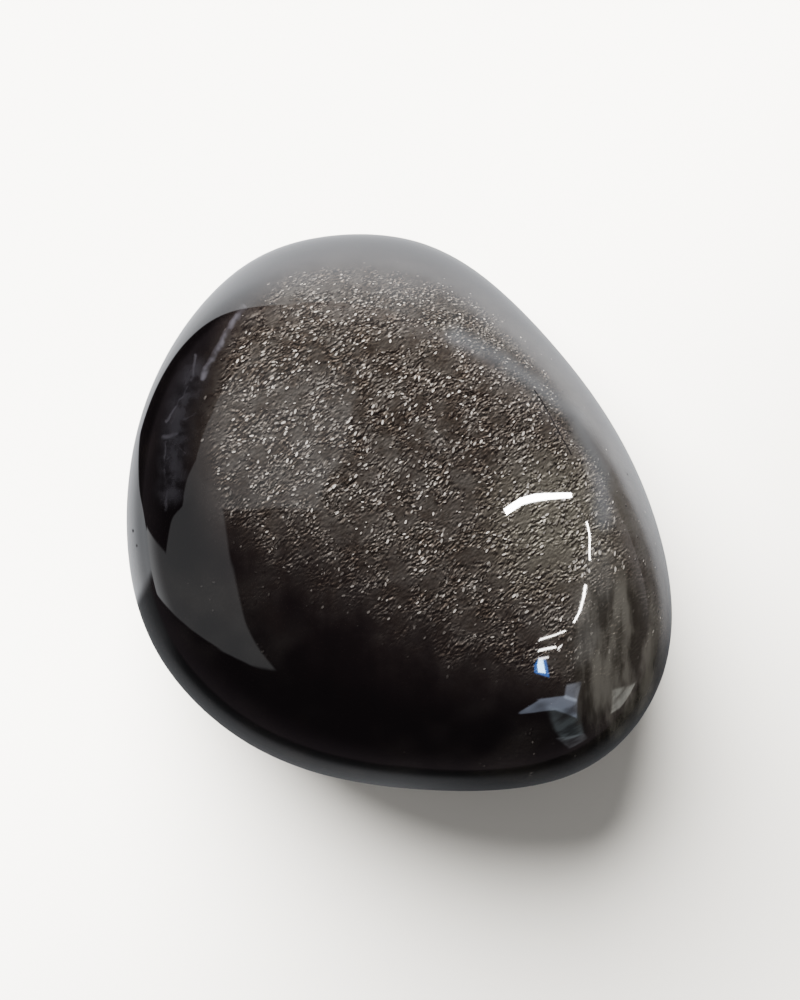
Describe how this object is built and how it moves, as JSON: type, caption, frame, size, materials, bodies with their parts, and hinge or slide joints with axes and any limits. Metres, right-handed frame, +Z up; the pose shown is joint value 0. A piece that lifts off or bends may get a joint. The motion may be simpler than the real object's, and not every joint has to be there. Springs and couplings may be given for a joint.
{
  "type": "tumbled sheen obsidian stone",
  "caption": "Tumble-polished chunk of black sheen obsidian with a rounded triangular outline, lying on a small worn flat.",
  "frame": {"origin": "on the plane that the stone rests on, under the middle of its box", "axes": "+Z up from the worn flat that the stone rests on, +X along its long diameter towards the narrower rounded corner, +Y across it towards the straighter long side"},
  "size_m": [0.0338, 0.0282, 0.0188],
  "materials": {
    "sheen_obsidian": "polished black volcanic glass with a silver-gold sheen of fine short streaks inside it"
  },
  "bodies": {
    "root": {"obsidian_stone": "sheen_obsidian"}
  },
  "joints": []
}
